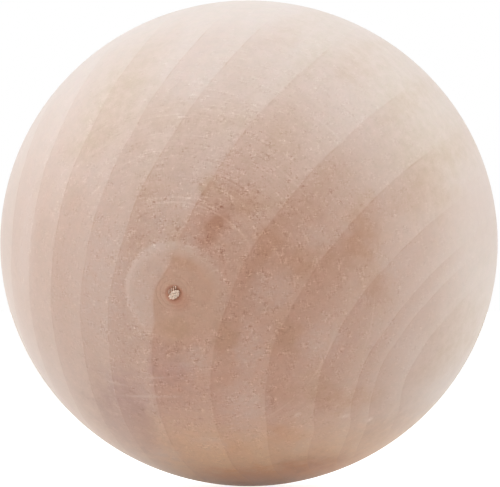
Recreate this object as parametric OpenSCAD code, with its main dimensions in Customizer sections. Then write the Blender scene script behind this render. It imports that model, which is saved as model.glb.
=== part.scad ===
// Turned wooden ball, parted off its turning blank and left as it came from the lathe.
// Origin at the ball's centre, +Z up, with the turning mark on the -Y side. Sizes are in millimetres.

/* [Ball] */
// Width and depth of the ball, measured level
ball_w = 50.6; // [45:0.1:56]
// Height of the ball, its shortest way through, because wood shrinks unevenly as it dries
ball_h = 49.4; // [44:0.1:55]

/* [Turning axis] */
// How far the marked pole is turned to the left of the front, in degrees
pole_turn = 17.5; // [0:0.5:35]
// How far the marked pole points down from level, in degrees
pole_drop = 11.5; // [0:0.5:35]

/* [Parting facet] */
// Diameter of the round facet that the parting cut left around the mark
facet_d = 10.9; // [8:0.1:14]
// How far that facet stands proud of the sanded ball
facet_rise = 0.1; // [0.05:0.01:0.2]
// Angle at which the facet's edge rises out of the ball, in degrees
facet_edge = 9; // [6:1:14]

/* [Turning mark] */
// Diameter of the dished pit at the centre of the mark
pit_d = 2; // [1.6:0.1:3]
// Depth of the pit
pit_depth = 0.25; // [0.2:0.05:0.5]
// Number of fine tool lines around the pit
line_count = 2; // [1:1:4]
// Distance from the pit to the first tool line, and from each line to the next
line_pitch = 0.42; // [0.3:0.02:0.6]
// Width of a tool line
line_w = 0.16; // [0.1:0.02:0.2]
// Depth of a tool line
line_depth = 0.04; // [0.02:0.01:0.06]

/* [Torn stub] */
// Length of the oval tuft of fibres that tore off in the pit
stub_l = 1.45; // [0.8:0.05:1.6]
// Width of that tuft
stub_w = 0.9; // [0.5:0.05:1.1]
// Height of the tuft's longest fibres above the floor of the pit
stub_h = 0.45; // [0.3:0.05:0.8]
// How far the tuft stands below the middle of the pit
stub_shift = 0.1; // [0:0.05:0.15]
// Direction of the tuft's long way, in degrees up from level
stub_turn = 35; // [0:5:90]
// Lean of the fibres away from the turning axis, in degrees
fibre_lean = 10; // [0:1:15]
// Number of fibre bundles in the tuft
fibre_count = 16; // [8:1:20]
// Thickness of one bundle of torn fibres
fibre_d = 0.3; // [0.24:0.02:0.4]

/* [Hidden] */
$fn = 96;
// Distance from the ball's centre to its surface at the marked pole
pole_r = 1 / sqrt(pow(cos(pole_drop) / (ball_w / 2), 2) + pow(sin(pole_drop) / (ball_h / 2), 2));
// The same to the top of the facet
facet_top = pole_r + facet_rise;
// Half the angle that the facet spans, seen from the ball's centre
facet_span = asin(facet_d / 2 / pole_r);
// Radius of the small dome whose flank makes the facet's edge
dome_r = facet_d / 2 / sin(facet_span + facet_edge);
// Radius of the ball-nosed cut that leaves the pit
pit_r = (pow(pit_d / 2, 2) + pow(pit_depth, 2)) / (2 * pit_depth);
// Radius of the tool tip that leaves a line
tip_r = (pow(line_w / 2, 2) + pow(line_depth, 2)) / (2 * line_depth);
// Depth to which the tuft's fibres are rooted below the pit's floor
fibre_root = 0.6;
// Turn from one fibre of the tuft to the next, which spreads them evenly
fibre_step = 137.5;
wood = [0.84, 0.72, 0.63];
torn_wood = [0.93, 0.85, 0.77];

// Level of the facet's surface at a distance from the turning axis, with the axis's own point at 0.
function facet_z(distance) = sqrt(pow(facet_top, 2) - pow(distance, 2)) - facet_top;

// Share of the full height that one fibre of the tuft reaches.
function fibre_share(i) = 0.7 + 0.3 * cos(i * 200);

// Puts its children on the turning axis: +Z leads out of the ball, and the facet's top is at 0.
module at_mark() {
    rotate([90 + pole_drop, 0, -pole_turn])
        translate([0, 0, facet_top])
            children();
}

// The oval of the ball, round when seen from above, grown by a skin if one is given.
module oval(skin = 0) {
    wide = ball_w + 2 * skin;
    high = ball_h + 2 * skin;
    scale([1, 1, high / wide])
        sphere(d = wide);
}

// The facet's skin, with a flank that runs down to meet the ball.
module parting_facet() {
    flank_centre = pole_r * cos(facet_span) - dome_r * cos(facet_span + facet_edge);
    intersection() {
        oval(skin = facet_rise);
        at_mark()
            translate([0, 0, flank_centre - facet_top])
                sphere(r = dome_r);
    }
}

module pit() {
    at_mark()
        translate([0, 0, pit_r - pit_depth])
            sphere(r = pit_r);
}

// Rings left by the tool's tip around the pit.
module tool_lines() {
    at_mark()
        for (i = [1 : line_count]) {
            line_r = pit_d / 2 + i * line_pitch;
            rotate_extrude()
                translate([line_r, facet_z(line_r) + tip_r - line_depth])
                    circle(r = tip_r);
        }
}

// Fibres that tore instead of being cut, standing in an oval tuft.
module torn_stub() {
    at_mark()
        translate([0, -stub_shift, -pit_depth])
            rotate([0, 0, stub_turn])
                for (i = [0 : fibre_count - 1]) {
                    out = sqrt(i / fibre_count);
                    turn = i * fibre_step;
                    along = out * cos(turn) * (stub_l - fibre_d) / 2;
                    across = out * sin(turn) * (stub_w - fibre_d) / 2;
                    translate([along, across, 0])
                        rotate([0, fibre_lean, 0])
                            translate([0, 0, -fibre_root])
                                cylinder(h = fibre_root + stub_h * fibre_share(i), d = fibre_d, $fn = 6);
                }
}

module ball() {
    color(wood)
        difference() {
            union() {
                oval();
                parting_facet();
            }
            pit();
            tool_lines();
        }
    color(torn_wood)
        torn_stub();
}

ball();
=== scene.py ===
"""A turned wooden ball, dressed as it comes from the lathe, on a plain pale stage.

The frame holds the ball's true form. Here the ball is turned again with a finer skin, its torn stub is
made of separate fibres, and its end grain gets year rings, rays, pores and the marks of the tools.
Lengths are in metres and in the frame's own axes: X right, Y away from the viewer, Z up.
"""

import math
from types import SimpleNamespace

import bpy
from bpy.props import FloatProperty, FloatVectorProperty, IntProperty, PointerProperty
from mathutils import Matrix, Vector


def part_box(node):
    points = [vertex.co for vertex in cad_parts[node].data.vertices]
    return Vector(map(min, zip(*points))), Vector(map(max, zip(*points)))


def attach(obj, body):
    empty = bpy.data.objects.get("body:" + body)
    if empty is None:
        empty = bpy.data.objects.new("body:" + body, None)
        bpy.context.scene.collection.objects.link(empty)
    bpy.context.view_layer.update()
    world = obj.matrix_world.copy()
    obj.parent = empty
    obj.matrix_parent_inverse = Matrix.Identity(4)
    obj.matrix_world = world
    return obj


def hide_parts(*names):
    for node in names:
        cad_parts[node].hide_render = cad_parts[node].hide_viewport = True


bl_info = {
    "name": "Turned Wooden Ball",
    "version": (1, 0, 0),
    "blender": (4, 5, 0),
    "location": "3D View > Sidebar > Wooden Ball",
    "description": "Turns a wooden ball, tears its stub and sets its stage",
    "category": "Object",
}

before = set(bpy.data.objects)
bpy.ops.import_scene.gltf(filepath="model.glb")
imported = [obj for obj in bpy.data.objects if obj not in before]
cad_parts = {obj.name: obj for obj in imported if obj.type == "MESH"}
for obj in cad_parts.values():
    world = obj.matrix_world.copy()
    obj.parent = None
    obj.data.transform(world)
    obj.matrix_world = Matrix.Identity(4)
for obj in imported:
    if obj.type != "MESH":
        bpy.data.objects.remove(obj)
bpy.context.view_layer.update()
LOW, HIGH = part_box("ball")
BALL = "turned_ball"
MM = 0.001


# Sizes and colours that a user would change


def length(name, what, default):
    """A length in metres."""
    return FloatProperty(name=name, description=what, default=default, unit="LENGTH", precision=5)


def angle(name, what, degrees):
    """An angle, given here in degrees."""
    return FloatProperty(
        name=name, description=what, default=math.radians(degrees), subtype="ANGLE", unit="ROTATION"
    )


def linear(hex_colour):
    """Linear red, green, blue and alpha of an sRGB colour such as "D8B49C"."""
    parts = [int(hex_colour[i : i + 2], 16) / 255 for i in (0, 2, 4)]
    return [c / 12.92 if c <= 0.04045 else ((c + 0.055) / 1.055) ** 2.4 for c in parts] + [1.0]


def colour(name, what, hex_colour):
    """A colour, given here as sRGB hex."""
    return FloatVectorProperty(
        name=name, description=what, default=linear(hex_colour), size=4, subtype="COLOR", min=0, max=1
    )


class BallSizes(bpy.types.PropertyGroup):
    """Sizes of the ball and of the marks that turning left at its pole."""

    width: length("Width", "Width and depth of the ball, measured level", HIGH.x - LOW.x)
    height: length("Height", "Height of the ball, its shortest way through", HIGH.z - LOW.z)
    pole_turn: angle("Pole Turn", "How far the marked pole is turned to the left of the front", 17.5)
    pole_drop: angle("Pole Drop", "How far the marked pole points down from level", 11.5)
    facet_width: length("Facet Width", "Diameter of the round facet of the parting cut", 10.9 * MM)
    facet_rise: length("Facet Rise", "How far the facet stands proud of the ball", 0.1 * MM)
    facet_edge: length("Facet Edge", "Width of the slope at the facet's edge", 0.7 * MM)
    pit_width: length("Pit Width", "Diameter of the pit at the pole", 2.0 * MM)
    pit_depth: length("Pit Depth", "Depth of the pit", 0.25 * MM)
    line_count: IntProperty(name="Tool Lines", description="Tool lines around the pit", default=2, min=0)
    line_pitch: length("Line Pitch", "Distance from one tool line to the next", 0.42 * MM)
    line_width: length("Line Width", "Width of a tool line", 0.16 * MM)
    line_depth: length("Line Depth", "Depth of a tool line", 0.04 * MM)
    segments: IntProperty(name="Segments", description="Segments around the turning axis", default=256)
    rings: IntProperty(name="Rings", description="Rings from pole to pole", default=160)


class StubSizes(bpy.types.PropertyGroup):
    """Sizes of the tuft of fibres that tore off in the pit."""

    long: length("Length", "Length of the oval tuft", 1.45 * MM)
    wide: length("Width", "Width of the oval tuft", 0.9 * MM)
    tall: length("Height", "Height of the longest fibres above the pit's floor", 0.45 * MM)
    shift: length("Shift", "How far the tuft stands below the middle of the pit", 0.1 * MM)
    turn: angle("Turn", "Direction of the tuft's long way, up from level", 35)
    lean: angle("Lean", "Lean of the fibres away from the turning axis", 10)
    fibres: IntProperty(name="Fibres", description="Number of torn fibres", default=46, min=1)
    fibre_width: length("Fibre Width", "Thickness of one fibre", 0.2 * MM)
    splinters: IntProperty(
        name="Splinters", description="Short splinters along the tuft's upper side", default=11, min=0
    )


class WoodLook(bpy.types.PropertyGroup):
    """Colours of the wood, and the lie of its year rings."""

    sap: colour("Sapwood", "End grain of the outer, paler years", "BFA394")
    heart: colour("Heartwood", "End grain of the inner, redder years", "BD947F")
    side: colour("Side Grain", "Wood seen across its fibres, which is paler than end grain", "CCBCB1")
    # Painted light: side grain that turns paler toward the top, where more light falls
    pale: colour("Painted Top Light", "Side grain painted paler toward the top, where more light falls", "EDE3DE")
    # Painted shade: a warm tan toward the bottom, standing in for the warm shade low on the ball
    tan: colour("Tan Side", "Warm tan painted on the lower side as shade", "DBB38B")
    late: colour("Late Wood Tint", "What darkens the late wood of each year", "F5EDE9")
    hairline: colour("Year's End Tint", "Thin brown line at the end of each year", "F5EEE8")
    blush: colour("Blush Tint", "Reddish cast of the patches between paler ones", "FBF5F3")
    olive: colour("Olive Tint", "Olive cast of patches that took up oil from the tool", "F8F6EE")
    # The cream round the facet's rim is a painted highlight, strongest up on the left
    cream: colour("Facet Cream", "Grey cream of the clean facet and its rim", "DED6D0")
    drab: colour("Facet Tint", "Drab brown cast of the facet's older years", "FEFDF8")
    burn: colour("Burnish Tint", "Reddish brown of the rubbed pit", "F2D9CE")
    tawny: colour("Tawny Tint", "Warm brown patches", "F6EDE1")
    oil: colour("Oil Tint", "Olive brown patches", "F6F3E9")
    # The fleck tint also paints shade along the bottom rim, where the ball meets the floor
    fleck_and_rim_shade: colour("Fleck Tint", "Reddish brown mineral flecks", "E7D4C5")
    russet: colour("Russet Tint", "Orange patches low on the tan side", "FEF5EB")
    # Painted shade: a warm tan along the underside, where the ball lies in shade near the floor
    underside_amber_shade: colour("Amber Tint", "Warm tan of the underside", "FFE5C2")
    # Painted shade: purplish grey darkening, mostly low on the left of the ball
    shade: colour("Violet Shade Tint", "Purplish grey painted shade, mostly low on the left", "F5F1F7")
    # Painted shade: dark brown darkening low on the sides, toward the bottom
    deep: colour("Deep Tint", "Dark brown patches low on the sides", "F0E9E4")
    lilac: colour("Lilac Wood", "Pale lilac wood between the darker patches", "CBB6AD")
    dust: colour("Dust", "Pale dust in the scuffs low on the sides", "DBC6BA")
    torn: colour("Torn Fibres", "Bare fibres where the stub tore off", "EFDAC9")
    torn_grey: colour("Torn Streaks", "Grey streaks between those fibres", "E4D6C8")
    torn_foot: colour("Torn Feet", "Burnished brown at the fibres' feet", "A0765C")
    ring_turn: angle("Ring Turn", "Direction across the years from bark to pith, up from level", -40)


class StageLook(bpy.types.PropertyGroup):
    """The camera and the light tent around the ball."""

    camera_distance: length("Camera Distance", "Distance from the camera to the ball's centre", 1.2)
    camera_share: FloatProperty(
        name="Ball Share", description="Share of the picture's width that the ball fills", default=0.995
    )
    high: FloatProperty(name="High", description="Power of the lamp high in front, in watts", default=1.13)
    left: FloatProperty(name="Left", description="Power of the lamp on the left, in watts", default=1.5)
    right: FloatProperty(name="Right", description="Power of the lamp on the right, in watts", default=1.4)
    fill: FloatProperty(name="Fill", description="Power of the lamp at the front left, in watts", default=0.2)
    ambient: FloatProperty(name="Ambient", description="Strength of the light from all round", default=0.05)


# Shared helpers


def deselect():
    """Nothing is selected afterwards, so that an operator acts only on what comes next."""
    if bpy.context.object and bpy.context.object.mode != "OBJECT":
        bpy.ops.object.mode_set(mode="OBJECT")
    bpy.ops.object.select_all(action="DESELECT")


def settle(obj):
    """Moves an object's place into its mesh, so that the object itself sits at the origin."""
    deselect()
    obj.select_set(True)
    bpy.context.view_layer.objects.active = obj
    bpy.ops.object.transform_apply(location=True, rotation=True, scale=True)


def pick_top_face(obj):
    """Leaves the object in edit mode, with only its highest face selected."""
    bpy.ops.object.mode_set(mode="EDIT")
    bpy.ops.mesh.select_all(action="DESELECT")
    bpy.ops.object.mode_set(mode="OBJECT")
    max(obj.data.polygons, key=lambda face: face.center.z).select = True
    bpy.ops.object.mode_set(mode="EDIT")
    bpy.ops.mesh.select_mode(type="FACE")


def mark_frame(sizes):
    """Turns +Z onto the turning axis at the marked pole, with X level and Y up as a viewer sees it."""
    return Matrix.Rotation(-sizes.pole_turn, 4, "Z") @ Matrix.Rotation(math.pi / 2 + sizes.pole_drop, 4, "X")


def smooth(low, high, value):
    """0 below low, 1 above high, and an S-shaped rise between them."""
    t = min(max((value - low) / (high - low), 0.0), 1.0)
    return t * t * (3 - 2 * t)


# The ball


def turned_level(sizes, r):
    """Level of the turned surface at a distance r from the turning axis, near the marked pole."""
    ball = math.sqrt((sizes.width / 2) ** 2 - r * r)
    edge = sizes.facet_width / 2
    level = ball + sizes.facet_rise * smooth(edge, edge - sizes.facet_edge, r)
    for n in range(sizes.line_count):
        away = abs(r - sizes.pit_width / 2 - (n + 1) * sizes.line_pitch)
        level -= sizes.line_depth * smooth(sizes.line_width / 2, 0, away)
    return level - sizes.pit_depth * smooth(sizes.pit_width / 2, sizes.pit_width / 5, r)


class WOODBALL_OT_turn(bpy.types.Operator):
    """Turn the ball, with its parting facet, tool lines and pit"""

    bl_idname = "wood_ball.turn"
    bl_label = "Turn Ball"

    def execute(self, context):
        sizes = context.scene.ball_sizes
        edge = sizes.facet_width / 2
        deselect()
        bpy.ops.mesh.primitive_uv_sphere_add(
            segments=sizes.segments, ring_count=sizes.rings, radius=sizes.width / 2
        )
        ball = context.object
        ball.name = ball.data.name = BALL
        bpy.ops.object.mode_set(mode="EDIT")
        bpy.ops.mesh.select_all(action="SELECT")
        bpy.ops.mesh.bisect(
            plane_co=(0, 0, turned_level(sizes, edge)), plane_no=(0, 0, 1), use_fill=True, clear_outer=True
        )
        pick_top_face(ball)
        # The cap is cut down to the pit ring by ring, as the tool passed over it.
        step = 0.06 * MM
        r = edge
        while r > 2 * step:
            bpy.ops.mesh.inset(thickness=step, depth=turned_level(sizes, r - step) - turned_level(sizes, r))
            r -= step
        bpy.ops.mesh.poke()
        bpy.ops.object.mode_set(mode="OBJECT")
        ball.matrix_world = mark_frame(sizes)
        settle(ball)
        # Drying shrinks the ball in height.
        ball.scale = (1, 1, sizes.height / sizes.width)
        settle(ball)
        bpy.ops.object.shade_smooth()
        ball.data.materials.append(turned_wood(context.scene))
        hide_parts("ball")
        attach(ball, "root")
        return {"FINISHED"}


# Turn from one fibre to the next, in radians, which spreads them evenly over the tuft
FIBRE_TURN = 2.4


def torn_fibre(place, width, tall, root, n):
    """One torn fibre that stands on the plane z = 0 of its place, rooted below it, each n a little other."""
    deselect()
    bpy.ops.mesh.primitive_cylinder_add(
        vertices=7, radius=width / 2, depth=root + tall, location=(0, 0, (tall - root) / 2)
    )
    fibre = bpy.context.object
    settle(fibre)
    pick_top_face(fibre)
    # A torn end thins, slants and splinters.
    bpy.ops.transform.resize(value=(0.8, 0.8, 1))
    slant = (0.15 * width * math.cos(n * 5), 0.15 * width * math.sin(n * 5), 0.3 * width)
    bpy.ops.mesh.extrude_region_move(TRANSFORM_OT_translate={"value": slant})
    bpy.ops.transform.resize(value=(0.8, 0.6, 1))
    bpy.ops.object.mode_set(mode="OBJECT")
    fibre.matrix_world = place
    settle(fibre)
    return fibre


class WOODBALL_OT_tear_stub(bpy.types.Operator):
    """Stand the tuft of torn fibres in the pit, with splinters along its upper side"""

    bl_idname = "wood_ball.tear_stub"
    bl_label = "Tear Stub"

    def execute(self, context):
        sizes = context.scene.ball_sizes
        stub = context.scene.stub_sizes
        ball = bpy.data.objects[BALL]
        floor = sizes.width / 2 + sizes.facet_rise - sizes.pit_depth
        at_floor = mark_frame(sizes) @ Matrix.Translation((0, -stub.shift, floor))
        at_floor = at_floor @ Matrix.Rotation(stub.turn, 4, "Z")
        root = 0.2 * MM
        fibres = []
        # The sines of uneven multiples of n make each fibre a little other.
        for n in range(stub.fibres):
            out = math.sqrt((n + 0.5) / stub.fibres)
            turn = n * FIBRE_TURN
            along = out * math.cos(turn) * (stub.long - stub.fibre_width) / 2
            across = out * math.sin(turn) * (stub.wide - stub.fibre_width) / 2
            tall = stub.tall * (0.85 + 0.15 * math.cos(n * 3.5)) * (1 - 0.2 * out)
            lean = Matrix.Rotation(stub.lean * (1 + 0.6 * math.sin(n * 1.9)), 4, "Y")
            sway = Matrix.Rotation(math.radians(6) * math.sin(n * 2.7), 4, "X")
            place = at_floor @ Matrix.Translation((along, across, 0)) @ lean @ sway
            fibres.append(torn_fibre(place, stub.fibre_width, tall, root, n))
        # The splinters stand in three uneven rows along the tuft's upper side.
        for n in range(stub.splinters):
            along = (n / stub.splinters - 0.3) * stub.long * 0.75
            across = stub.wide / 2 + (0.02 + 0.12 * (n % 3)) * MM
            tall = stub.tall * (0.55 + 0.2 * math.sin(n * 2.1))
            place = at_floor @ Matrix.Translation((along, across, 0)) @ Matrix.Rotation(stub.lean, 4, "X")
            fibres.append(torn_fibre(place, stub.fibre_width * 0.55, tall, root, n))
        deselect()
        wood = torn_wood(context.scene)
        for fibre in fibres:
            fibre.data.materials.append(wood)
            fibre.select_set(True)
        ball.select_set(True)
        context.view_layer.objects.active = ball
        bpy.ops.object.join()
        return {"FINISHED"}


# Materials


# Sockets of a Mix node that mixes colours, and the settings for a plain mix and for a tint
A, B, RESULT = 6, 7, 2
MIXED = {"out": RESULT, "data_type": "RGBA"}
TINTED = {**MIXED, "blend_type": "MULTIPLY"}
# Settings for a sum, a difference, a product, a product with a third value added, a vector's length and
# a soft change
PLUS = {"operation": "ADD"}
MINUS = {"operation": "SUBTRACT"}
TIMES = {"operation": "MULTIPLY"}
TIMES_PLUS = {"operation": "MULTIPLY_ADD"}
LENGTH = {"operation": "LENGTH", "out": "Value"}
SOFTLY = {"interpolation_type": "SMOOTHSTEP"}


def add(tree, kind, inputs=None, out=0, stops=(), **settings):
    """Adds a shader node with its settings and links, and returns one of its outputs.

    Inputs are set or linked by name or number. Stops, as (value in, value out), shape a colour ramp.
    """
    node = tree.nodes.new("ShaderNode" + kind)
    for name, value in settings.items():
        setattr(node, name, value)
    for key, value in (inputs or {}).items():
        if isinstance(value, bpy.types.NodeSocket):
            tree.links.new(value, node.inputs[key])
        else:
            node.inputs[key].default_value = value
    for n, (position, level) in enumerate(stops):
        elements = node.color_ramp.elements
        element = elements[n] if n < 2 else elements.new(position)
        element.position = position
        element.color = (level, level, level, 1)
    return node.outputs[out] if len(node.outputs) else None


def new_material(name):
    """A material with an empty node tree, its shader and its output."""
    material = bpy.data.materials.new(name)
    material.use_nodes = True
    tree = material.node_tree
    tree.nodes.clear()
    surface = add(tree, "BsdfPrincipled")
    add(tree, "OutputMaterial", {"Surface": surface})
    return material, tree, surface.node


# Widths of the years along the line across them, in millimetres, from the bark side to the pith side
YEARS = (3.8, 3.8, 3.9, 4.6, 3.9, 5.9, 7.1, 5.9, 4.9, 3.4, 1.4, 2.1, 3.1, 3.4)
# Where the first of those years starts on that line, from the turning axis
YEARS_FROM = -27.5
# How much of each year's wood is sapwood, as (number of the year, share)
SAPWOOD = ((0, 1.0), (4.9, 0.9), (5.9, 0.7), (6.05, 0.25), (8, 0.0), (14, 0.1))
# Tone across one year, as (share of its width, lightness): dark late wood that fades to light early wood
YEAR_TONE = ((0, 1), (0.025, 0.05), (0.09, 0.15), (0.38, 0.28), (0.62, 0.6), (0.85, 0.9), (1, 1))
# Strength across one year of the brown line that ends it
YEAR_END = ((0, 0), (0.008, 0), (0.02, 1), (0.03, 1), (0.05, 0))
# Years are not straight: they lean, bow, hook, fan out and twist as they cross the ball.
LEAN, BOW, HOOK, FAN, TWIST = 0.38, -0.35, 0.07, -0.045, -0.095
# The ball's nominal radius, in millimetres, by which the pattern's long distances are measured
RADIUS = 25
# The swirl beside the pit: its place, how far it reaches, and how far it moves the years, in millimetres
SWIRL_AT, SWIRL_SIZE, SWIRL_SHIFT = (-1.4, -0.2, RADIUS), 3.4, 0.8
# How steeply side grain takes over from end grain toward the sides, as a power
SIDE_GRAIN_RISE = 3.4
# Heights between which the warm tan of the lower side, a painted shade, sets in, in millimetres
SHADE_TAN_FROM, SHADE_TAN_FULL = -10.5, -20
# The facet: where its uneven edge starts and ends, in millimetres from the turning axis, the ages
# between which its colour turns drab, how far and to what level its sapwood and its late wood are
# evened out, the strength of its cream and of its painted rim highlight, and where its burnish is centred
FACET_EDGE = (4.8, 5.6)
DRAB_AGE = (5.98, 6.04)
EVEN_SAP, EVEN_LATE = (0.2, 0.5), (0.6, 0.3)
CREAM_AND_RIM_HIGHLIGHT = 0.15
BURNISH_AT = (0.6, -0.7, 0)
# Strength of the facet's rim highlight, a painted cream, by distance from the turning axis as a share of this
# reach
RIM_HIGHLIGHT_REACH = 8
RIM_HIGHLIGHT_TONE = ((0.48, 0), (0.6, 1), (0.66, 1), (0.72, 0))
# Sanding circles: millimetres from one to the next and along one. Most are faint, and a few are deep.
CIRCLE_GAP, CIRCLE_RUN = 0.16, 3.5
CIRCLE_TONE = ((0.22, 0), (0.4, 0.42), (0.6, 0.58), (0.78, 1))
# Rays: millimetres from one to the next, across the years and along the fibres
RAY_GAP, RAY_RUN, RAY_HEIGHT = 0.3, 4, 2
# Where the pith lies, from which the rays come, and about how far that is, in millimetres
PITH_AT, PITH_AWAY = (47, 17, 0), 50
# Tone of the specks: most are faint, and a few are strong, pale or dark.
SPECK_TONE = ((0, 0), (0.1, 0.42), (0.9, 0.58), (1, 1))
# What all fine marks together are lowered by, so that they darken as much as they lighten
MARKS_LEVEL = -0.15
HALF = (0.5, 0.5, 0.5)
# Slow changes over the ball: what each follows, where it starts and ends, its value at either end, and
# its course. Places are in millimetres, and slant goes from 0 on end grain to 1 on side grain.
FADES = {
    # How far leaning fibres move the years low down, and the share of that to the right
    "leaning": ("up", -15, -24, 0, 4, "SMOOTHSTEP"),
    "leaning_share": ("right", 2, 10, 0, 1, "LINEAR"),
    # The painted top light, paler side grain toward the top, and the share of the tan painted shade to the
    # right
    "bleached": ("up", 0, RADIUS, 0, 0.5, "SMOOTHSTEP"),
    "tan_share": ("right", -10, -3, 0.35, 1, "SMOOTHSTEP"),
    # How far late wood shows high up, and all marks of the years toward side grain
    "late_share": ("up", 6, 18, 1, 0.6, "LINEAR"),
    "years_share": ("slant", 0.92, 0.99, 1, 0.2, "LINEAR"),
    # Strength of the casts, from the marked side to the far side, and of the fine mottling
    "cast_share": ("z", 5, -8, 0.3, 1, "LINEAR"),
    "mottle_share": ("slant", 0, 1, 0.28, 0.12, "LINEAR"),
    # The facet's painted rim highlight upward and to the right, and the burnished pit
    "rim_up": ("up", -3.5, 2, 0, 1, "LINEAR"),
    "rim_left": ("right", 0, 5, 1, 0.5, "LINEAR"),
    "pit": ("off_axis", 0.85, 1.05, 0.9, 0, "LINEAR"),
    # The sanding circles away from the turning axis, to the right and upward
    "circles_out": ("off_axis", 5, 15, 0.2, 1, "LINEAR"),
    "circles_left": ("right", 8, 18, 1, 0.5, "LINEAR"),
    "circles_up": ("up", -4, 6, 0.6, 1, "LINEAR"),
    # All fine marks, from end grain to side grain and on the clean facet
    "marks_share": ("slant", 0, 1, 1.5, 0.12, "LINEAR"),
    "marks_clean": ("facet", 0, 1, 1, 0.35, "LINEAR"),
}
# Scratches round the turning axis: distance from it over the surface in millimetres, first and last
# angle in degrees, counted from the right, and strength, which is negative for a dark one
SCRATCHES = (
    (9.1, 28, 114, 1), (9.6, 74, 112, 0.7), (12.6, 54, 68, -0.8), (13.9, 98, 119, -0.6),
    (16.1, 78, 98, 0.6), (16.4, 36, 53, 0.6), (16.7, -70, -13, 0.9), (18.5, 78, 109, 0.8),
    (18.8, 50, 62, 0.6), (20.5, -25, -2, 0.9), (23.4, 39, 55, 0.7),
)
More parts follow.
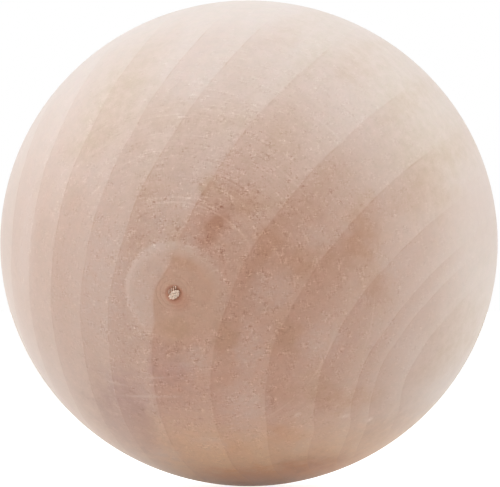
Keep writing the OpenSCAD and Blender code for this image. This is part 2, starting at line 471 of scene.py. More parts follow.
# Patches and stains, by colour, and painted shade low on the ball: millimetres right of and above the
# turning axis, length, width, turn of the length up from level in degrees, and strength
PATCHES_AND_PAINTED_SHADE = {
    "tawny": (
        (12.3, 8, 8, 6, -10, 0.4), (14.8, 10.6, 5.5, 4, 30, 0.4), (17.4, 5.8, 8.5, 4.5, -80, 1),
        (16.4, 3.4, 6, 5.5, 0, 0.6), (9.6, 5, 6, 4.5, 60, 1), (7.9, 2.1, 8, 3.5, 60, 0.6),
        (14.6, 0.9, 8.5, 4.5, 40, 0.4), (12.4, 2.6, 7, 5.5, 0, 0.9), (9, -11, 7, 4.5, 0, 0.5),
        (18.4, -1.3, 9, 3.5, -75, 0.7), (6.6, 9.1, 6, 4, -30, 0.4), (10.2, 14.8, 10, 6, -70, 0.2),
        (4.5, 16.5, 10, 4.5, -5, 0.3), (-2, 17, 9, 5, -10, 0.3), (21.3, 6.9, 8, 5, -55, 0.6),
        (23.5, 5.8, 9, 3, -70, 0.4), (15.5, -13, 7, 5, 0, 0.6), (-3.8, 8.7, 6, 6, 0, 0.3),
        (-2, 14.5, 20, 11, 10, 0.4), (9.5, 14, 30, 20, -45, 0.35), (12.5, -12.5, 7, 5, 0, 0.5),
        (9.5, -20.5, 9, 5, 0, 0.8), (14.3, 19.7, 8, 5, -30, 0.5), (19.2, 15.7, 5, 4, 0, 0.4),
        (8.2, 23, 10, 4, 0, 0.4), (-6.5, -10.5, 4, 4, 0, 0.4), (24, -6.5, 8, 3, 90, 0.5),
        (1.2, 3.1, 4.5, 2.2, -15, 0.8), (3.2, 10.4, 3, 2.5, 0, 0.5), (22.5, 9.6, 6, 5, 0, 0.4),
        (23, -9.5, 12, 4, -75, 0.6), (21.3, -11.2, 7, 4, 60, 0.6), (-0.3, -6.2, 4, 3, 0, 0.7),
        (0.4, 5.2, 6, 3.6, 80, 1), (-4.3, 5.3, 4.5, 4.5, 0, 0.5), (-2.8, 10.2, 6, 5, 0, 0.4),
        (7.6, 8.6, 5.5, 4.5, 0, 0.5), (17.6, 2.8, 5, 3, -80, 0.6),
    ),
    "oil": (
        (-8, 18, 19, 10, 50, 0.9), (-11, 13.4, 9, 4, 20, 0.5), (10.8, 21, 10, 4.5, 50, 0.5),
        (17.4, 17, 12, 6, -45, 0.5), (21.2, 11.2, 15, 7, -55, 0.8), (10.5, -5, 6.5, 4, 85, 1.2),
        (4.7, -4.6, 7, 3.5, 75, 1.3), (12.7, -10.9, 6.5, 5, 80, 1), (-0.1, -3.9, 5.5, 4.5, 0, 1),
        (3.9, 10.2, 4.5, 3.5, -25, 1), (-11, 8, 9, 5, -60, 0.3),
    ),
    # Painted shade on the underside and its rim, where the ball meets the floor
    "underside_amber_shade": (
        (4.5, -21.7, 26, 5, 0, 1.3), (1.5, -23.8, 26, 4, 0, 1), (14.3, -13.2, 9, 5, 20, 0.2),
    ),
    "fleck_and_rim_shade": (
        (4.3, 7, 5.5, 4.2, 70, 1.1), (3.4, 5.2, 3, 2.6, 0, 0.4), (16.9, 3.9, 4, 3.5, 0, 0.2),
        # The last row is painted shade along the bottom rim, where the ball meets the floor
        (1.5, -23.6, 22, 3.2, 0, 0.6),
    ),
    "russet": (
        (8.2, -16.1, 5, 4, 0, 1.2), (2.4, -17.4, 6, 3.5, 0, 0.6), (7.8, -21.2, 8, 4, 0, 0.6),
    ),
    # Painted shade, purplish grey, mostly low on the left
    "shade": (
        (-1.5, -7.8, 7.5, 6, 20, 0.9), (-0.5, -10.5, 10, 4, 0, 0.5), (-0.6, -8.3, 5, 4, 0, 0.4),
        (-6.5, -11, 11, 8, -30, 1.2), (-8, -15.5, 13, 10, -50, 1.3), (-2.8, -8.9, 5, 2.5, 0, 0.6),
    ),
    # Painted shade low on the sides, toward the bottom
    "deep": (
        (-9, -14.5, 15, 12, -60, 1.2), (-6, -13.8, 7, 4.5, 0, 1), (-5, -18, 10, 8, 0, 0.8),
        (9.6, -20.4, 9, 4.5, 0, 1.1), (7.2, -20.3, 4, 4, 0, 1.1), (16, -17.7, 12, 5.5, 45, 1),
    ),
    "lilac": (
        (9.5, 0, 6.5, 6.5, -55, 0.2), (7, -5.8, 9.5, 5, 80, 0.25), (13.7, 4.6, 5, 4, -10, 0.15),
        (5.4, -12.3, 10, 7, 65, 0.35), (13.5, -5.9, 7.5, 5.5, 80, 0.25), (-8.5, 1, 24, 12, 85, 0.3),
        (20.5, -4, 12, 8, 70, 0.15), (19.7, -8.6, 9, 4, 65, 0.25), (20.7, 1.2, 5, 3.5, 45, 0.25),
        (-5, -18.5, 6, 4, 0, 0.3), (-18, 4.9, 20, 4.5, 85, 0.4), (24.9, 4.5, 12, 4, -80, 0.4),
        (1, -16.7, 5, 3, 0, 0.25), (9.1, -17.5, 4.5, 3, 0, 0.15), (16.4, 5.2, 3, 3, 0, 0.2),
        (1, 5, 6, 5, -90, 0.2), (0.8, -7, 10, 5, 0, 0.2), (-4, -2, 9, 4, 75, 0.2),
    ),
    "dust": (
        (-4.6, -11.2, 10, 0.5, 2, 0.24), (-8, -9.9, 5, 0.5, -10, 0.2), (-3, -9, 5, 0.4, 3, 0.15),
        (9.9, -13.8, 1.2, 0.6, 30, 0.5), (13.8, -14.7, 1.6, 0.7, 10, 0.5),
        (15.4, -15.7, 1.3, 0.6, 40, 0.5),
    ),
}


def wood_places(tree, scene):
    """Where a point lies in the wood, in millimetres, with the noises and fades that patterns share."""
    turned = mark_frame(scene.ball_sizes).to_3x3()
    across = turned @ Matrix.Rotation(scene.wood_look.ring_turn, 3, "Z")
    at = SimpleNamespace()
    place = add(tree, "TexCoord", out="Object")
    # Right of, above and out from the marked pole
    turn = turned.transposed().to_euler()
    at.seen = add(tree, "Mapping", {"Vector": place, "Rotation": turn, "Scale": (1 / MM,) * 3})
    at.right, at.up, _ = add(tree, "SeparateXYZ", {0: at.seen}).node.outputs
    # Across the years, along the years, and out along the fibres
    turn = across.transposed().to_euler()
    at.grain = add(tree, "Mapping", {"Vector": place, "Rotation": turn, "Scale": (1 / MM,) * 3})
    at.x, at.y, at.z = add(tree, "SeparateXYZ", {0: at.grain}).node.outputs
    at.front = add(tree, "Math", {0: at.z, 1: 0.0}, operation="GREATER_THAN")
    # Distance from the turning axis, and how far the surface turns from the fibres' ends: 0 to 1
    flat = add(tree, "CombineXYZ", {0: at.x, 1: at.y})
    at.off_axis = add(tree, "VectorMath", {0: flat}, **LENGTH)
    at.slant = add(tree, "Math", {0: at.off_axis, 1: 1 / RADIUS}, operation="MULTIPLY", use_clamp=True)
    at.side = add(tree, "Math", {0: at.slant, 1: SIDE_GRAIN_RISE}, operation="POWER")
    # Growth differs over a few millimetres across the fibres, and over far more along them.
    at.drawn = add(tree, "Mapping", {"Vector": at.grain, "Scale": (1, 1, 0.15)})
    at.fine = add(tree, "TexNoise", {"Vector": at.drawn, "Scale": 1.1, "Detail": 2})
    # 1 on the round facet of the parting cut and 0 elsewhere, with a slightly uneven edge
    at.reach = add(tree, "Math", {0: at.fine, 1: 0.4, 2: at.off_axis}, **TIMES_PLUS)
    facet = add(
        tree, "MapRange",
        {"Value": at.reach, "From Min": FACET_EDGE[0], "From Max": FACET_EDGE[1], "To Min": 1, "To Max": 0},
    )
    at.facet = add(tree, "Math", {0: facet, 1: at.front}, **TIMES)
    for name, (follows, start, end, first, last, kind) in FADES.items():
        value = getattr(at, follows)
        fade = add(
            tree, "MapRange",
            {"Value": value, "From Min": start, "From Max": end, "To Min": first, "To Max": last},
            interpolation_type=kind,
        )
        setattr(at, name, fade)
    return at


def year_lines(tree, at):
    """The distance across the years, the number of the year, and how far through it a point lies."""
    # Growth was uneven: a slow and a fine wander move the years by a few tenths of a millimetre.
    slow = add(tree, "TexNoise", {"Vector": at.drawn, "Scale": 0.16, "Detail": 1})
    wander = add(tree, "Math", {0: slow, 1: 0.7, 2: -0.39}, **TIMES_PLUS)
    wander = add(tree, "Math", {0: at.fine, 1: 0.08, 2: wander}, **TIMES_PLUS)
    # The line across the years, bent by its five coefficients
    e = add(tree, "Math", {0: at.y, 1: 1 / RADIUS}, **TIMES)
    bend = add(tree, "Math", {0: e, 1: HOOK, 2: BOW}, **TIMES_PLUS)
    bend = add(tree, "Math", {0: e, 1: bend, 2: LEAN}, **TIMES_PLUS)
    spread = add(tree, "Math", {0: e, 1: TWIST, 2: FAN}, **TIMES_PLUS)
    spread = add(tree, "Math", {0: e, 1: spread, 2: 1.0}, **TIMES_PLUS)
    # The years swing round the pit, because the wood there has a small swirl.
    swirl = add(tree, "VectorMath", {0: at.seen, 1: SWIRL_AT}, **MINUS)
    swirl = add(tree, "VectorMath", {0: swirl}, **LENGTH)
    swirl = add(
        tree, "MapRange", {"Value": swirl, "From Max": SWIRL_SIZE, "To Min": SWIRL_SHIFT, "To Max": 0},
        **SOFTLY,
    )
    wander = add(tree, "Math", {0: wander, 1: swirl}, **PLUS)
    # Low on the right the fibres lean away from the turning axis, which keeps the years straight there.
    wander = add(tree, "Math", {0: at.leaning, 1: at.leaning_share, 2: wander}, **TIMES_PLUS)
    line = add(tree, "Math", {0: at.x, 1: spread, 2: wander}, **TIMES_PLUS)
    line = add(tree, "Math", {0: at.y, 1: bend, 2: line}, **TIMES_PLUS)
    # A curve through the years' widths counts them: a whole number at each boundary.
    along = add(
        tree, "MapRange", {"Value": line, "From Min": YEARS_FROM, "From Max": YEARS_FROM + sum(YEARS)}
    )
    curve = add(tree, "FloatCurve", {"Value": along})
    mapping = curve.node.mapping
    for n in range(1, len(YEARS)):
        mapping.curves[0].points.new(sum(YEARS[:n]) / sum(YEARS), n / len(YEARS))
    for point in mapping.curves[0].points:
        point.handle_type = "VECTOR"
    mapping.update()
    age = add(tree, "Math", {0: curve, 1: len(YEARS)}, **TIMES)
    part = add(tree, "Math", {0: age}, operation="FRACT")
    return line, age, part


def plain_wood(tree, at, look):
    """The wood's colour: sapwood and heartwood, end and side grain, and each year's late wood, with painted
    light toward the top and painted shade toward the bottom.
    """
    stops = [(year / len(YEARS), share) for year, share in SAPWOOD]
    young = add(tree, "Math", {0: at.age, 1: 1 / len(YEARS)}, **TIMES)
    sap = add(tree, "ValToRGB", {0: young}, stops=stops)
    # The clean facet shows less difference from year to year and within a year.
    even = add(tree, "Math", {0: at.facet, 1: EVEN_SAP[0]}, **TIMES)
    sap = add(tree, "Mix", {0: even, 2: sap, 3: EVEN_SAP[1]})
    body = add(tree, "Mix", {0: sap, A: look.heart, B: look.sap}, **MIXED)
    # The further the surface turns from the fibres' ends, the more of it is paler side grain.
    body = add(tree, "Mix", {0: at.side, A: body, B: look.side}, **MIXED)
    # Painted light and shade: the side grain turns paler toward the top, where more light falls, and a warm
    # tan toward the bottom stands in for the shade there.
    body = add(tree, "Mix", {0: at.bleached, A: body, B: look.pale}, **MIXED)
    tilt = add(tree, "Math", {0: at.right, 1: 0.1, 2: at.up}, **TIMES_PLUS)
    tilt = add(tree, "Math", {0: at.fine, 1: 2.5, 2: tilt}, **TIMES_PLUS)
    low = add(tree, "MapRange", {"Value": tilt, "From Min": SHADE_TAN_FROM, "From Max": SHADE_TAN_FULL}, **SOFTLY)
    low = add(tree, "Math", {0: low, 1: at.tan_share}, **TIMES)
    body = add(tree, "Mix", {0: low, A: body, B: look.tan}, **MIXED)
    tone = add(tree, "ValToRGB", {0: at.part}, stops=YEAR_TONE)
    late = add(tree, "Math", {0: 1.0, 1: tone}, **MINUS)
    even = add(tree, "Math", {0: at.facet, 1: EVEN_LATE[0]}, **TIMES)
    late = add(tree, "Mix", {0: even, 2: late, 3: EVEN_LATE[1]})
    # Late wood shows less high up, and sanding blurred the years where the surface turns to side grain.
    for share in (at.late_share, at.years_share):
        late = add(tree, "Math", {0: late, 1: share}, **TIMES)
    body = add(tree, "Mix", {0: late, A: body, B: look.late}, **TINTED)
    # A faint brown line, broken here and there, ends each year on the end grain.
    broken = add(tree, "MapRange", {"Value": at.fine, "From Min": 0.45, "From Max": 0.7})
    ends = add(tree, "ValToRGB", {0: at.part}, stops=YEAR_END)
    for share in (broken, at.years_share):
        ends = add(tree, "Math", {0: ends, 1: share}, **TIMES)
    return add(tree, "Mix", {0: ends, A: body, B: look.hairline}, **TINTED)


def casts_stains_and_painted_shade(tree, at, look, body):
    """Patches with a reddish or an olive cast, most of them off the marked side, and stains there, with
    painted shade low on the ball.
    """
    moved = add(tree, "VectorMath", {0: at.drawn, 1: (40, 70, 0)}, **PLUS)
    # Each cast, with its place, size, detail and roughness, and the noise at which it starts and is full
    for cast, place, scale, detail, rough, start, full in (
        (look.blush, at.drawn, 0.2, 3, 0.6, 0.35, 0.65),
        (look.olive, moved, 0.3, 4, 0.65, 0.48, 0.68),
    ):
        share = add(
            tree, "TexNoise", {"Vector": place, "Scale": scale, "Detail": detail, "Roughness": rough}
        )
        share = add(
            tree, "MapRange",
            {"Value": share, "From Min": start, "From Max": full, "To Max": at.cast_share},
        )
        body = add(tree, "Mix", {0: share, A: body, B: cast}, **TINTED)
    # Fine mottling, a millimetre or two across, in lightness and a little in colour
    mottle = add(tree, "TexNoise", {"Vector": at.seen, "Scale": 0.9, "Detail": 3.5, "Roughness": 0.7})
    colours = add(tree, "VectorMath", {0: mottle.node.outputs["Color"], 1: HALF}, **MINUS)
    light = add(tree, "Math", {0: mottle, 1: 0.5}, **MINUS)
    light = add(tree, "Math", {0: light, 1: at.mottle_share, 2: 1.0}, **TIMES_PLUS)
    light = add(tree, "VectorMath", {0: colours, 1: (0.06, 0.06, 0.06), 2: light}, **TIMES_PLUS)
    body = add(tree, "VectorMath", {0: body, 1: light}, **TIMES)
    # The same mottling breaks up the stains and the painted shade, and a warp of up to 1 mm makes their edges
    # ragged.
    broken = add(
        tree, "MapRange",
        {"Value": mottle, "From Min": 0.35, "From Max": 0.65, "To Min": 1.4, "To Max": 0.6},
    )
    warp = add(tree, "TexNoise", {"Vector": at.seen, "Scale": 0.6, "Detail": 2}, out="Color")
    warp = add(tree, "VectorMath", {0: warp, 1: HALF}, **MINUS)
    ragged = add(tree, "VectorMath", {0: warp, 1: (2.5, 2.5, 2.5), 2: at.seen}, **TIMES_PLUS)
    for name, places in PATCHES_AND_PAINTED_SHADE.items():
        depth = 0.0
        edge = at.seen if name == "dust" else ragged
        for right, up, long, wide, turn, strength in places:
            spot = (right, up, math.sqrt(max(RADIUS ** 2 - right ** 2 - up ** 2, 0)))
            turned, size = (0, 0, math.radians(turn)), (long / 2, wide / 2, RADIUS)
            near = add(
                tree, "Mapping", {"Vector": edge, "Location": spot, "Rotation": turned, "Scale": size},
                vector_type="TEXTURE",
            )
            near = add(tree, "TexGradient", {"Vector": near}, out="Fac", gradient_type="SPHERICAL")
            near = add(tree, "MapRange", {"Value": near, "To Max": strength}, **SOFTLY)
            depth = add(tree, "Math", {0: near, 1: depth}, **PLUS)
        depth = add(tree, "Math", {0: depth, 1: broken}, **TIMES)
        kind = MIXED if name in ("lilac", "dust") else TINTED
        body = add(tree, "Mix", {0: depth, A: body, B: getattr(look, name)}, **kind)
    return body


def facet_colour(tree, at, look, body):
    """The parting tool cut the round facet cleaner than the rest, so its colours are plainer.

    It is a grey cream on its younger years and a drab brown on its older ones. The cream round its rim,
    strongest up on the left, is a painted highlight. Turning the last of the stub away burnished the pit
    and its edge to a reddish brown.
    """
    older = add(tree, "MapRange", {"Value": at.age, "From Min": DRAB_AGE[0], "From Max": DRAB_AGE[1]})
    drab = add(tree, "Math", {0: at.facet, 1: older}, **TIMES)
    younger = add(tree, "Math", {0: at.facet, 1: drab}, **MINUS)
    younger = add(tree, "Math", {0: younger, 1: 0.4}, **TIMES)
    within = add(tree, "Math", {0: at.reach, 1: 1 / RIM_HIGHLIGHT_REACH}, **TIMES)
    rim = add(tree, "ValToRGB", {0: within}, stops=RIM_HIGHLIGHT_TONE)
    # The painted highlight on the rim shows most up on the left, where the light falls on its slope.
    for share in (at.rim_up, at.rim_left, at.front):
        rim = add(tree, "Math", {0: rim, 1: share}, **TIMES)
    # The cream is the facet's own colour on its younger years and a painted highlight on its rim.
    cream = add(tree, "Math", {0: younger, 1: rim}, operation="MAXIMUM")
    cream = add(tree, "Math", {0: cream, 1: CREAM_AND_RIM_HIGHLIGHT}, **TIMES)
    body = add(tree, "Mix", {0: drab, A: body, B: look.drab}, **TINTED)
    body = add(tree, "Mix", {0: cream, A: body, B: look.cream}, **MIXED)
    # The burnish reaches out of the pit on its lower right.
    aside = add(tree, "VectorMath", {0: at.seen, 1: BURNISH_AT}, **MINUS)
    aside = add(tree, "VectorMath", {0: aside, 1: (1, 1, 0)}, **TIMES)
    aside = add(tree, "VectorMath", {0: aside}, **LENGTH)
    burn = add(
        tree, "MapRange",
        {"Value": aside, "From Min": 0.4, "From Max": 1.5, "To Min": 0.6, "To Max": 0}, **SOFTLY,
    )
    burn = add(tree, "Math", {0: burn, 1: at.pit}, **PLUS)
    burn = add(tree, "Math", {0: burn, 1: at.front}, **TIMES)
    return add(tree, "Mix", {0: burn, A: body, B: look.burn}, **TINTED)


def lathe_circles(tree, at):
    """Fine circles that sanding on the lathe left round the turning axis, and its scratches."""
    polar = add(tree, "Math", {0: at.off_axis, 1: at.z}, operation="ARCTAN2")
    circle_place = add(
        tree, "CombineXYZ",
        {
            0: add(tree, "Math", {0: polar, 1: RADIUS / CIRCLE_GAP}, **TIMES),
            1: add(tree, "Math", {0: at.x, 1: 1 / CIRCLE_RUN}, **TIMES),
            2: add(tree, "Math", {0: at.y, 1: 1 / CIRCLE_RUN}, **TIMES),
        },
    )
    circles = add(tree, "TexNoise", {"Vector": circle_place, "Scale": 1, "Detail": 1})
    circles = add(tree, "ValToRGB", {0: circles}, stops=CIRCLE_TONE)
    scratches = 0.0
    arc = add(tree, "Math", {0: polar, 1: RADIUS}, **TIMES)
    turn = add(tree, "Math", {0: at.up, 1: at.right}, operation="ARCTAN2")
    for distance, start, end, depth in SCRATCHES:
        middle, half = math.radians((start + end) / 2), math.radians((end - start) / 2)
        scratch = depth
        # Each is under 0.3 mm wide, and its ends fade out.
        for value, centre, inner, outer in (
            (arc, distance, 0.04, 0.14), (turn, middle, half * 0.6, half)
        ):
            away = add(tree, "Math", {0: value, 1: centre}, **MINUS)
            away = add(tree, "Math", {0: away}, operation="ABSOLUTE")
            scratch = add(
                tree, "MapRange",
                {"Value": away, "From Min": inner, "From Max": outer, "To Min": scratch, "To Max": 0},
            )
        scratches = add(tree, "Math", {0: scratch, 1: scratches}, **PLUS)
    return circles, scratches


def fine_marks(tree, at):
    """Lightness of the fine marks, around 0: rays, lathe circles, pores, grit and specks of dust."""
    # Rays run from bark to pith, as fine pale and dark lines across the years.
    to_pith = add(tree, "VectorMath", {0: at.grain, 1: PITH_AT}, **MINUS)
    px, py, pz = add(tree, "SeparateXYZ", {0: to_pith}).node.outputs
    bearing = add(tree, "Math", {0: py, 1: px}, operation="DIVIDE")
    ray_place = add(
        tree, "CombineXYZ",
        {
            0: add(tree, "Math", {0: bearing, 1: PITH_AWAY / RAY_GAP}, **TIMES),
            1: add(tree, "Math", {0: px, 1: 1 / RAY_RUN}, **TIMES),
            2: add(tree, "Math", {0: pz, 1: 1 / RAY_HEIGHT}, **TIMES),
        },
    )
    rays = add(tree, "TexNoise", {"Vector": ray_place, "Scale": 1, "Detail": 2})
    circles, scratches = lathe_circles(tree, at)
    # Pores: dots 0.25 mm wide on end grain, short dashes along the fibres on side grain
    pore_place = add(tree, "Mapping", {"Vector": at.grain, "Scale": (4, 4, 0.5)})
    pores = add(tree, "TexNoise", {"Vector": pore_place, "Scale": 1, "Detail": 3})
    # Grit from sanding, in loose clusters: strokes 0.15 mm wide, pale level ones and dark upright ones
    level = add(tree, "Mapping", {"Vector": at.seen, "Scale": (2.4, 7.5, 3)})
    upright = add(tree, "Mapping", {"Vector": at.seen, "Scale": (7.5, 2.4, 3)})
    lit = add(tree, "TexNoise", {"Vector": level, "Scale": 1, "Detail": 1})
    shaded = add(tree, "TexNoise", {"Vector": upright, "Scale": 1, "Detail": 1})
    grit = add(tree, "Math", {0: lit, 1: shaded}, **MINUS)
    clusters = add(tree, "TexNoise", {"Vector": at.seen, "Scale": 1.3, "Detail": 3, "Roughness": 0.6})
    clusters = add(
        tree, "MapRange",
        {"Value": clusters, "From Min": 0.46, "From Max": 0.68, "To Min": 0.2, "To Max": 2.0},
    )
    grit = add(tree, "Math", {0: grit, 1: clusters}, **TIMES)
    # Dust that caught in the grain, as short curling pale strokes, each beside a dark one that is its painted
    # shadow
    curl = add(tree, "TexNoise", {"Vector": at.seen, "Scale": 2.0, "Detail": 1, "Distortion": 0.8})
    strokes = 0.0
    # The second, dark stroke is painted shadow beside the pale one
    for height, tone in ((0.5, 1.0), (0.56, -1.1)):
        stroke = add(tree, "Math", {0: curl, 1: height}, **MINUS)
        stroke = add(tree, "Math", {0: stroke}, operation="ABSOLUTE")
        stroke = add(tree, "MapRange", {"Value": stroke, "From Max": 0.035, "To Min": tone, "To Max": 0})
        strokes = add(tree, "Math", {0: stroke, 1: strokes}, **PLUS)
    parted = add(tree, "MapRange", {"Value": lit, "From Min": 0.48, "From Max": 0.62, "To Max": clusters})
    strokes = add(tree, "Math", {0: strokes, 1: parted}, **TIMES)
    # Specks 0.15 mm wide and half a millimetre apart: most are faint, a few are strong, pale or dark.
    specks = add(tree, "TexVoronoi", {"Vector": at.seen, "Scale": 2.2}, voronoi_dimensions="2D")
    kinds = add(tree, "ValToRGB", {0: specks.node.outputs["Color"]}, stops=SPECK_TONE)
    kinds = add(tree, "Math", {0: kinds, 1: 0.5}, **MINUS)
    specks = add(
        tree, "MapRange", {"Value": specks, "From Min": 0.08, "From Max": 0.28, "To Min": 1, "To Max": 0}
    )
    for share in (kinds, clusters):
        specks = add(tree, "Math", {0: specks, 1: share}, **TIMES)
    # The circles show most far from the turning axis, up on the left.
    circles = add(tree, "Math", {0: circles, 1: 0.5}, **MINUS)
    for share in (clusters, at.circles_out, at.circles_left, at.circles_up):
        circles = add(tree, "Math", {0: circles, 1: share}, **TIMES)
    # How much each kind of mark shows
    streaks = MARKS_LEVEL
    for mark, depth in (
        (rays, 0.06), (circles, 0.52), (pores, 0.21), (scratches, 0.18), (grit, 0.76), (specks, 0.85),
        (strokes, 0.25),
    ):
        streaks = add(tree, "Math", {0: mark, 1: depth, 2: streaks}, **TIMES_PLUS)
    # They show most on end grain, less towards the bark, and least on the clean facet.
    barkward = add(tree, "MapRange", {"Value": at.line, "From Min": -10, "From Max": 0, "To Min": 0.5})
    for share in (at.marks_share, barkward, at.marks_clean):
        streaks = add(tree, "Math", {0: streaks, 1: share}, **TIMES)
    return streaks


def turned_wood(scene):
    """Pale hardwood, lathe-turned and sanded: end grain with year rings.

    The fibres run along the turning axis. End grain looks darker than side grain, its years fade from
    late to early wood, and sanding leaves fine circles round the axis and pale dust in the pores.
    """
    material, tree, shader = new_material("hardwood_turned_and_sanded")
    look = scene.wood_look
    at = wood_places(tree, scene)
    at.line, at.age, at.part = year_lines(tree, at)
    body = plain_wood(tree, at, look)
    body = casts_stains_and_painted_shade(tree, at, look, body)
    body = facet_colour(tree, at, look, body)
    streaks = fine_marks(tree, at)
    # Pale marks are greyish dust and dark ones are brown, so red changes least and blue most.
    level = add(tree, "VectorMath", {0: streaks, 1: (0.68, 1.05, 1.22), 2: (1, 1, 1)}, **TIMES_PLUS)
    body = add(tree, "VectorMath", {0: body, 1: level}, **TIMES)
    relief = add(tree, "Bump", {"Height": streaks, "Strength": 0.05, "Distance": 0.05 * MM})
    tree.links.new(body, shader.inputs["Base Color"])
    tree.links.new(relief, shader.inputs["Normal"])
    # Sanded wood is satin: dense late wood and the clean facet are a little smoother, dusty marks rougher.
    rough = add(tree, "MapRange", {"Value": at.part, "To Min": 0.47, "To Max": 0.52})
    rough = add(tree, "Math", {0: streaks, 1: 0.3, 2: rough}, **TIMES_PLUS)
    rough = add(tree, "Math", {0: at.facet, 1: -0.05, 2: rough}, **TIMES_PLUS)
    tree.links.new(rough, shader.inputs["Roughness"])
    # The dust of sanding gives a sheen.
    shader.inputs["Sheen Weight"].default_value = 0.4
    return material


def torn_wood(scene):
    """The same hardwood where it tore: dry, pale fibres with grey streaks, and brown at their feet."""
    material, tree, shader = new_material("hardwood_torn_fibre")
    look = scene.wood_look
    sizes = scene.ball_sizes
    turn = mark_frame(sizes).to_3x3().transposed().to_euler()
    place = add(tree, "TexCoord", out="Object")
    seen = add(tree, "Mapping", {"Vector": place, "Rotation": turn, "Scale": (1 / MM,) * 3})
    out = add(tree, "SeparateXYZ", {0: seen}, out="Z")
    # Streaks 0.2 mm wide along the fibres
    drawn = add(tree, "Mapping", {"Vector": seen, "Scale": (5, 5, 1)})
    streaks = add(tree, "TexNoise", {"Vector": drawn, "Scale": 1, "Detail": 2})
    grey = add(tree, "MapRange", {"Value": streaks, "From Min": 0.56, "From Max": 0.7})
    body = add(tree, "Mix", {0: grey, A: look.torn, B: look.torn_grey}, **MIXED)
    floor = (sizes.width / 2 + sizes.facet_rise - sizes.pit_depth) / MM
    foot = add(
        tree, "MapRange",
        {"Value": out, "From Min": floor, "From Max": floor + 0.1, "To Min": 1, "To Max": 0},
    )
    body = add(tree, "Mix", {0: foot, A: body, B: look.torn_foot}, **MIXED)
    rough = add(tree, "MapRange", {"Value": streaks, "To Min": 0.95, "To Max": 0.65})
    tree.links.new(body, shader.inputs["Base Color"])
    tree.links.new(rough, shader.inputs["Roughness"])
    return material


# The stage


def seen_directly(tree):
    """1 for rays that the camera, a reflection or a clear solid sends out, and 0 for light that spreads."""
    seen = add(tree, "LightPath", out="Is Camera Ray")
    path = seen.node
    for kind in ("Is Glossy Ray", "Is Transmission Ray"):
        seen = add(tree, "Math", {0: seen, 1: path.outputs[kind]}, operation="MAXIMUM")
    return seen


def pale_world(stage):
    """A white surround that lights the ball only softly."""
    world = bpy.data.worlds.new("pale_surround")
    bpy.context.scene.world = world
    world.use_nodes = True
    tree = world.node_tree
    tree.nodes.clear()
    soft = add(tree, "Background", {"Color": (1, 1, 1, 1), "Strength": stage.ambient})
    white = add(tree, "Background", {"Color": (1, 1, 1, 1), "Strength": 1})
    mix = add(tree, "MixShader", {0: seen_directly(tree), 1: soft, 2: white})
    add(tree, "OutputWorld", {"Surface": mix})


def pale_floor():
    """A plain pale floor that keeps the ball's shadow and otherwise meets the white surround."""
    deselect()
    bpy.ops.mesh.primitive_plane_add(size=6, location=(0, 0, LOW.z))
    floor = bpy.context.object
    floor.name = "pale_floor"
    settle(floor)
    material, tree, shader = new_material("pale_card_matt")
    shader.inputs["Base Color"].default_value = linear("F1EFEC")
    shader.inputs["Roughness"].default_value = 0.9
    shader.inputs["Specular IOR Level"].default_value = 0.1
    shader.inputs["Emission Color"].default_value = (1, 1, 1, 1)
    # The glow is white far away, where the lamps hardly reach, and lower near the ball, for its shadow.
    place = add(tree, "TexCoord", out="Object")
    away = add(tree, "VectorMath", {0: place}, **LENGTH)
    glow = add(
        tree, "MapRange",
        {"Value": away, "From Min": 0.05, "From Max": 0.4, "To Min": 0.81}, **SOFTLY,
    )
    glow = add(tree, "Math", {0: seen_directly(tree), 1: glow}, **TIMES)
    tree.links.new(glow, shader.inputs["Emission Strength"])
    floor.data.materials.append(material)


# Azimuth and elevation of each lamp in degrees, and its distance and size in metres
LAMPS = {
    "high": (0, 60, 0.5, 0.4),
    "left": (-90, 33, 0.4, 0.45),
    "right": (90, 31, 0.4, 0.45),
    "fill": (-50, 15, 0.5, 0.4),
}
# How far the camera stands to the right of and above the ball's centre
CAMERA_RIGHT, CAMERA_UP = 0.11 * MM, -0.02 * MM


def lamp(name, azimuth, elevation, distance, size, power):
    """A square soft lamp that faces the ball. Azimuth 0 is in front, and 90 to the viewer's right."""
    a, e = math.radians(azimuth), math.radians(elevation)
    towards = Vector((math.sin(a) * math.cos(e), -math.cos(a) * math.cos(e), math.sin(e)))
    data = bpy.data.lights.new(name, "AREA")
    data.shape = "SQUARE"
    data.size = size
    data.energy = power
    made = bpy.data.objects.new(name, data)
    made.location = towards * distance
    made.rotation_euler = towards.to_track_quat("Z", "Y").to_euler()
    made.visible_camera = False
    made.visible_glossy = False
    bpy.context.scene.collection.objects.link(made)


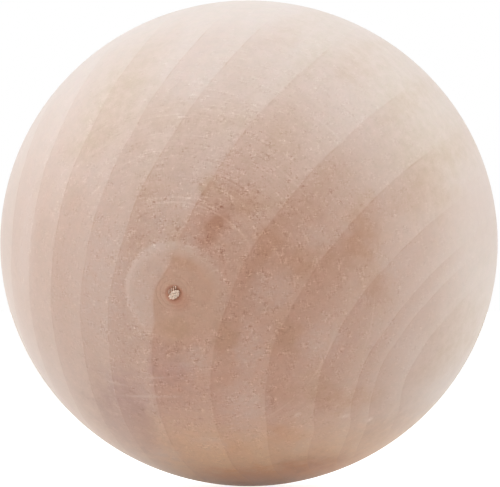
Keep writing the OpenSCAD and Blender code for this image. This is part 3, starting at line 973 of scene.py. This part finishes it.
class WOODBALL_OT_set_stage(bpy.types.Operator):
    """Lay the floor, hang the lamps and set the camera"""

    bl_idname = "wood_ball.set_stage"
    bl_label = "Set Stage"

    def execute(self, context):
        scene = context.scene
        stage = scene.stage_look
        sizes = scene.ball_sizes
        pale_floor()
        pale_world(stage)
        for name, place in LAMPS.items():
            lamp("lamp_" + name, *place, getattr(stage, name))
        data = bpy.data.cameras.new("camera")
        camera = bpy.data.objects.new("camera", data)
        scene.collection.objects.link(camera)
        scene.camera = camera
        half_angle = math.asin(sizes.width / 2 / stage.camera_distance)
        data.lens = data.sensor_width * stage.camera_share / 2 / math.tan(half_angle)
        data.clip_start = 0.1
        data.clip_end = 10
        camera.location = (CAMERA_RIGHT, -stage.camera_distance, CAMERA_UP)
        camera.rotation_euler = (math.pi / 2, 0, 0)
        scene.view_settings.view_transform = "Standard"
        return {"FINISHED"}


class WOODBALL_PT_panel(bpy.types.Panel):
    """Lists the steps in the order in which they are taken."""

    bl_idname = "WOODBALL_PT_panel"
    bl_label = "Wooden Ball"
    bl_space_type = "VIEW_3D"
    bl_region_type = "UI"
    bl_category = "Wooden Ball"

    def draw(self, context):
        for name in GROUPS:
            group = getattr(context.scene, name)
            for size in group.__annotations__:
                self.layout.prop(group, size)
        for step in STEPS:
            self.layout.operator(step.bl_idname)


GROUPS = {
    "ball_sizes": BallSizes,
    "stub_sizes": StubSizes,
    "wood_look": WoodLook,
    "stage_look": StageLook,
}
STEPS = (WOODBALL_OT_turn, WOODBALL_OT_tear_stub, WOODBALL_OT_set_stage)


def register():
    for name, group in GROUPS.items():
        bpy.utils.register_class(group)
        setattr(bpy.types.Scene, name, PointerProperty(type=group))
    for step in STEPS:
        bpy.utils.register_class(step)
    bpy.utils.register_class(WOODBALL_PT_panel)


def unregister():
    bpy.utils.unregister_class(WOODBALL_PT_panel)
    for step in reversed(STEPS):
        bpy.utils.unregister_class(step)
    for name, group in GROUPS.items():
        delattr(bpy.types.Scene, name)
        bpy.utils.unregister_class(group)


def main():
    register()
    bpy.ops.wood_ball.turn()
    bpy.ops.wood_ball.tear_stub()
    bpy.ops.wood_ball.set_stage()


if __name__ == "__main__":
    main()
